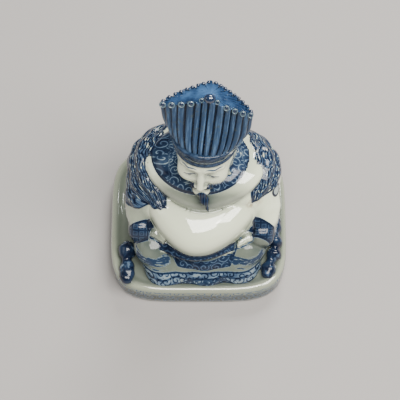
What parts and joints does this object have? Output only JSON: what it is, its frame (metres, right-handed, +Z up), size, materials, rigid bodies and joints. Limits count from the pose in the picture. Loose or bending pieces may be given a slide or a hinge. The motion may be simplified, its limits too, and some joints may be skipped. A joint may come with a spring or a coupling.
{
  "type": "porcelain deity figure",
  "caption": "Seated bearded deity in blue-and-white porcelain with a tall ribbed crown, round paunch and hoop belt, fired as one with a low rounded plinth",
  "frame": {"origin": "centre of the underside of the plinth", "axes": "+Z up, the figure faces -Y, +X is the viewer's right when facing it"},
  "size_m": [0.141, 0.132, 0.2052],
  "materials": {
    "porcelain": "glossy greenish-white glaze over cobalt-blue painting"
  },
  "bodies": {
    "root": {"deity_figure": "porcelain"}
  },
  "joints": []
}
